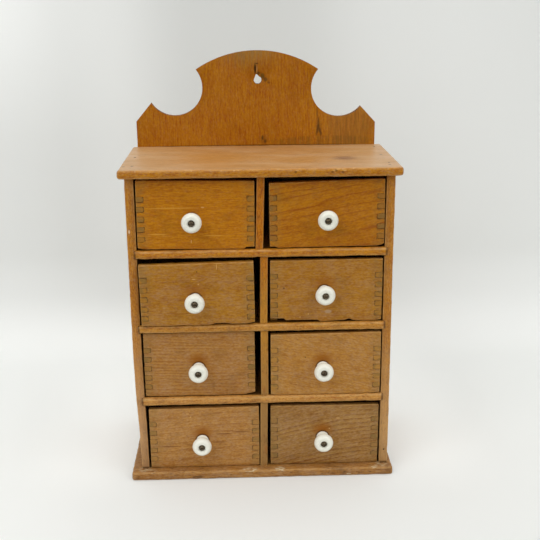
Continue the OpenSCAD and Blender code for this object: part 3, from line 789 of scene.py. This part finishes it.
# Each front's pale and dark wood, and how its grain runs
FRONT_WOODS = {
    "drawer_1l": ((192, 125, 8), (164, 92, 0),
                  dict(pith=(-60, 90), spacing=3.0, rings=0.2, haze=0.02, bloom=0.3, polish=0.2, seed=3.0)),
    "drawer_1r": ((182, 117, 8), (149, 79, 0),
                  dict(pith=(-60, 60), spacing=5.6, tilt=10, rings=1.0, line=0.18, warp=5, fibres=1.2,
                       haze=0.04, bloom=0.2, polish=0.2, seed=14.0)),
    "drawer_2l": ((175, 120, 19), (146, 86, 0),
                  dict(pith=(-50, 60), spacing=3.6, rings=0.35, warp=9, bloom=0.6, seed=25.0)),
    "drawer_2r": ((175, 120, 24), (146, 86, 0),
                  dict(pith=(-70, 80), spacing=3.0, rings=0.3, bloom=0.6, seed=36.0)),
    "drawer_3l": ((176, 124, 53), (147, 90, 25),
                  dict(pith=(-90, 20), spacing=3.2, rings=1.2, line=0.45, warp=2.5, fibres=1.2, seed=47.0)),
    "drawer_3r": ((184, 131, 52), (155, 97, 24),
                  dict(pith=(-60, 90), spacing=3.0, tilt=-12, rings=0.2, seed=58.0)),
    "drawer_4l": ((183, 132, 63), (149, 93, 31),
                  dict(pith=(-60, 60), spacing=4.6, tilt=4, bow=0.0004, rings=0.6, line=0.25, warp=4,
                       fibres=1.3, seed=69.0)),
    "drawer_4r": ((167, 124, 58), (124, 73, 16),
                  dict(pith=(-90, 30), spacing=3.9, tilt=11, bow=0.0012, rings=1.1, line=0.4, warp=3,
                       fibres=0.9, mottling=0.9, seed=81.0)),
}
# How warm the wood over the knobs is painted, row by row: partly varnish kept warm and partly painted where
# the knob hides the room's reflection
WARMTH = {"1": 0.35, "2": 0.65, "3": 0.85, "4": 0.9}
# Chips along the lower edges, as points along the board and how much is missing there
CHIPS = {
    "drawer_1l": ((-120, 2.2), (-114, 0.4), (-108, 0), (-15, 0), (-13.4, 1.9), (-5.8, 2.2), (-4, 1.4)),
    "drawer_1r": ((8, 1.4), (14.6, 1.6), (16.4, 0.1), (60, 0.3), (112, 0.2), (117.6, 1.2), (120, 3.0)),
    "drawer_2l": ((-120, 0.8), (-90, 0.1), (-78, 0.5), (-66, 0), (-50.6, 0.2), (-44.6, 1.8), (-36, 1.6),
                  (-28, 0.5), (-14, 0.5), (-8, 1.6), (-4, 1.8)),
    "drawer_2r": ((8, 4.4), (22, 4.4), (24, 2.0), (56, 2.0), (58.6, 0), (82.9, 1.4), (87, 3.1),
                  (91.3, 0.8), (110.6, 0), (118.9, 1.4)),
    "drawer_3l": ((-118, 0.5), (-100, 0), (-18, 0.2), (-12.4, 1.6), (-7, 2.8)),
    "drawer_3r": ((9, 0.6), (20, 0), (110, 0.2), (119, 1.0)),
    "drawer_4l": ((-114, 0.8), (-104, 0), (-20, 0), (-4, 0.6)),
    "drawer_4r": ((9, 0.6), (18, 0), (112, 0.1), (119, 0.9)),
}
# Scratches, dents, paint specks and single grain lines: place, half width, half height and colour
GRAIN = plain(118, 66, 18)
FADED = plain(204, 146, 52)
MARKS = {
    "drawer_1l": ((-54.6, 284.7, 2.2, 0.8, SCUFF_AND_HIGHLIGHT), (-66.3, 251.5, 0.7, 2.2, SCUFF_AND_HIGHLIGHT),
                  (-82, 284.4, 30, 0.8, FADED), (-98, 259, 12, 0.8, FADED), (-45, 257, 12, 0.8, FADED)),
    "drawer_2l": ((-42.7, 227.3, 0.6, 4.0, SCUFF_AND_HIGHLIGHT), (-60.7, 209.7, 0.9, 0.9, SCUFF_AND_HIGHLIGHT),
                  (-65, 215, 2.4, 0.7, SCUFF_AND_HIGHLIGHT), (-61.9, 222.5, 0.9, 0.9, DIRT_AND_SHADE)),
    "drawer_2r": ((22.4, 202.5, 1.3, 1.0, DIRT_AND_SHADE), (66.1, 177.6, 4.5, 2.4, HAZE),
                  (46.5, 175.3, 1.0, 0.9, SCUFF_AND_HIGHLIGHT), (38.4, 172.3, 1.0, 0.8, SCUFF_AND_HIGHLIGHT)),
    "drawer_3r": ((43.8, 129.9, 1.0, 0.9, DIRT_AND_SHADE), (115.9, 136.9, 0.8, 2.0, SCUFF_AND_HIGHLIGHT)),
    "drawer_4l": ((-73.1, 66.1, 0.9, 0.9, SCUFF_AND_HIGHLIGHT), (-75.9, 69.7, 2.4, 0.7, SCUFF_AND_HIGHLIGHT),
                  (-40, 46.4, 12, 0.9, GRAIN), (-22, 48.4, 12, 0.9, GRAIN), (-45, 37.2, 9, 0.9, GRAIN),
                  (-71, 34.6, 9, 0.9, GRAIN), (-94, 33.4, 14, 0.9, GRAIN)),
    "drawer_4r": ((78, 61.1, 3.0, 0.7, SCUFF_AND_HIGHLIGHT), (69, 49.6, 0.9, 0.9, SCUFF_AND_HIGHLIGHT)),
}


def own_size(node, roll):
    """A front as it measures along its own edges, about its box's middle. The head isn't level,
    so its height is given at the left and at the right end."""
    low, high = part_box(node)
    centre = middle_of(node)
    turn = math.radians(roll)
    own = []
    for point in frame["nodes"][node].data.vertices:
        away = point.co - centre
        own.append((away.x * math.cos(turn) + away.z * math.sin(turn),
                    away.z * math.cos(turn) - away.x * math.sin(turn)))
    left, right = min(x for x, z in own), max(x for x, z in own)
    foot = min(z for x, z in own)
    heads = [max(z for x, z in own if abs(x - end) < 0.5 * MM) for end in (left, right)]
    return centre, left, right, foot, heads, high.y - low.y


def join(pieces):
    deselect_all()
    for piece in pieces:
        piece.select_set(True)
    bpy.context.view_layer.objects.active = pieces[0]
    bpy.ops.object.join()
    return bpy.context.object


chip_high, past_end = 9, 5
for drawer in DRAWERS:
    node = drawer + "_front"
    roll = ROLLS.get(drawer, 0.0)
    centre, left, right, foot, heads, thick = own_size(node, roll)
    head = max(heads)
    board = worn_board(node + "_board", (left, -thick / 2, foot), (right, thick / 2, head), 0.9,
                       steps=(1.8, 3, 2.4), wander=0.25, nicks=0.6)
    # The head slopes from its left to its right height, and the foot is chipped
    for point in board.data.vertices:
        share = (point.co.x - left) / (right - left)
        rise = max(0.0, (point.co.z - foot) / (head - foot))
        point.co.z -= (head - heads[0] - (heads[1] - heads[0]) * share) * rise
        gone = reading(CHIPS[drawer], (centre.x + point.co.x) / MM) * MM
        point.co.z += gone * max(0.0, 1 - (point.co.z - foot) / (chip_high * MM))
    sockets = []
    gap = finger_gap * MM
    for hand in (-1, 1):
        edge = left if hand < 0 else right
        inner = edge - hand * (side_thick * MM + gap)
        span = sorted((edge + hand * past_end * MM, inner))
        for i in range(fingers):
            z = foot + (FINGER_FEET[drawer] + i * finger_pitch) * MM
            socket = block("socket", (span[0], -thick, z - gap),
                           (span[1], thick, z + finger_high * MM + gap))
            round_over(socket, finger_round * MM,
                       lambda a, b: max(abs(a.x - inner), abs(b.x - inner)) < 0.01 * MM
                       and abs(a.y - b.y) > MM)
            sockets.append(socket)
    cut_away(board, join(sockets))
    board.rotation_euler.y = -math.radians(roll)
    board.location = centre
    place_in_mesh(board)

    pale, dark, grain = FRONT_WOODS[drawer]
    timber = Timber(node + "_wood", centre, "xzy", plain(*pale), plain(*dark), **grain)
    timber.soil(0.2)
    # Dirt and glue lie round the finger ends. past is how far a point lies past the fingers' inner ends,
    # and beside is its height above the foot of the finger next to it
    past = timber.at["x"].size() - ((right - left) / 2 / MM - side_thick)
    up = (timber.at["z"] - (foot / MM + FINGER_FEET[drawer])) * (1 / finger_pitch)
    beside = ((up.most(-0.3).least(fingers - 0.3) + 0.25).fraction() - 0.25) * finger_pitch
    outside = ((beside - finger_high / 2).size() - finger_high / 2).most(past * -1)
    patchy = timber.noise(5, 3, 3, 2.0, shift=71).step(0.3, 0.6)
    timber.tint(past.step(-9, 3) * patchy * 0.3, plain(132, 106, 58))
    timber.tint(outside.size().step(0.9, 0.1) * patchy * 0.75, plain(80, 46, 10))
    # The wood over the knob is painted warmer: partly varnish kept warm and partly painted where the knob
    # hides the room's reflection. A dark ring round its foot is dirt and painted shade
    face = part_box(node)[0].y / MM
    row = drawer[len("drawer_")]
    knob_x, _, knob_z = middle_of(drawer + "_knob") / MM
    above_knob = timber.spot((knob_x, face, knob_z + 8), (15, 40, 11), 0.9)
    timber.tint(above_knob * WARMTH[row], plain(146, 84, 2))
    timber.tint(timber.spot((knob_x, face, knob_z), (8.4, 40, 8.4), 0.3) * 0.8, DIRT_AND_SHADE)
    for x, z, wide, high_up, colour in MARKS.get(drawer, ()):
        timber.tint(timber.spot((x, face, z), (wide, 4, high_up), 0.5) * 0.7, colour)
    timber.tint_arrises(0.65)
    timber.darken_ends(0.4)
    timber.seal()
    hand_over(board, timber, drawer, "drawer_front_wood", node)

# Knobs
# Turned and glazed white porcelain: a foot on the drawer, a narrow neck and a fat round head with a
# slightly dished face, in which a slotted screw sits.
KNOB_RINGS = (
    # The foot and the neck
    (6.2, 0.0), (6.3, 0.9), (6.0, 2.2), (5.3, 3.6), (5.1, 4.8), (5.6, 6.4),
    # The head
    (7.0, 8.6), (8.7, 10.8), (9.6, 12.6), (9.8, 14.0), (9.6, 15.4), (9.0, 16.7), (8.2, 17.8), (7.3, 18.5),
    # The dished face and the screw's recess in it
    (6.4, 18.75), (5.4, 18.6), (4.4, 18.45), (3.95, 18.3), (3.78, 17.8), (3.72, 17.2), (3.7, 16.6),
)


def turned(name, rings, centre):
    """A piece turned on a lathe: rings of radius and distance in front of the face, in millimetres."""
    deselect_all()
    bpy.ops.mesh.primitive_circle_add(vertices=32, radius=rings[0][0] * MM, fill_type="NGON",
                                      rotation=(math.radians(90), 0, 0))
    piece = bpy.context.object
    piece.name = name
    place_in_mesh(piece)
    bpy.ops.object.mode_set(mode="EDIT")
    bpy.ops.mesh.select_mode(type="FACE")
    bpy.ops.mesh.select_all(action="SELECT")
    for (was, start), (radius, stop) in zip(rings, rings[1:]):
        bpy.ops.mesh.extrude_region_move(TRANSFORM_OT_translate={"value": (0, -(stop - start) * MM, 0)})
        bpy.ops.transform.resize(value=(radius / was, 1, radius / was))
    bpy.ops.mesh.select_all(action="SELECT")
    bpy.ops.mesh.normals_make_consistent(inside=False)
    bpy.ops.object.mode_set(mode="OBJECT")
    piece.location = centre
    place_in_mesh(piece)
    return piece


glaze = Finish("knob_glaze", Roughness=0.12, IOR=1.5)
stain = speckle_of(glaze, 90.0, 3.0)
glaze.paint(Base_Color=glaze.mix(stain.step(0.5, 0.8) * 0.3, plain(241, 240, 226), plain(222, 217, 196)))
for drawer in DRAWERS:
    node = drawer + "_knob"
    low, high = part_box(node)
    centre = ((low.x + high.x) / 2, high.y, (low.z + high.z) / 2)
    knob = turned(node + "_turned", KNOB_RINGS, centre)
    finish_with(knob, "SUBSURF", levels=2, render_levels=2)
    hand_over(knob, glaze, drawer, "knob_porcelain", node, angle=180)

# Screws
# Round-headed wood screws of blackened steel, their slots worn bright in places. Each runs through its
# knob into the drawer's front.
steel = Finish("screw_steel", Metallic=0.85)
speckle = speckle_of(steel, 900.0, 4.0)
steel.paint(Base_Color=steel.mix(speckle.step(0.35, 0.7), plain(62, 52, 40), plain(120, 106, 84)),
            Roughness=speckle * 0.4 + 0.25)
for drawer in DRAWERS:
    clad(drawer + "_screw", steel)
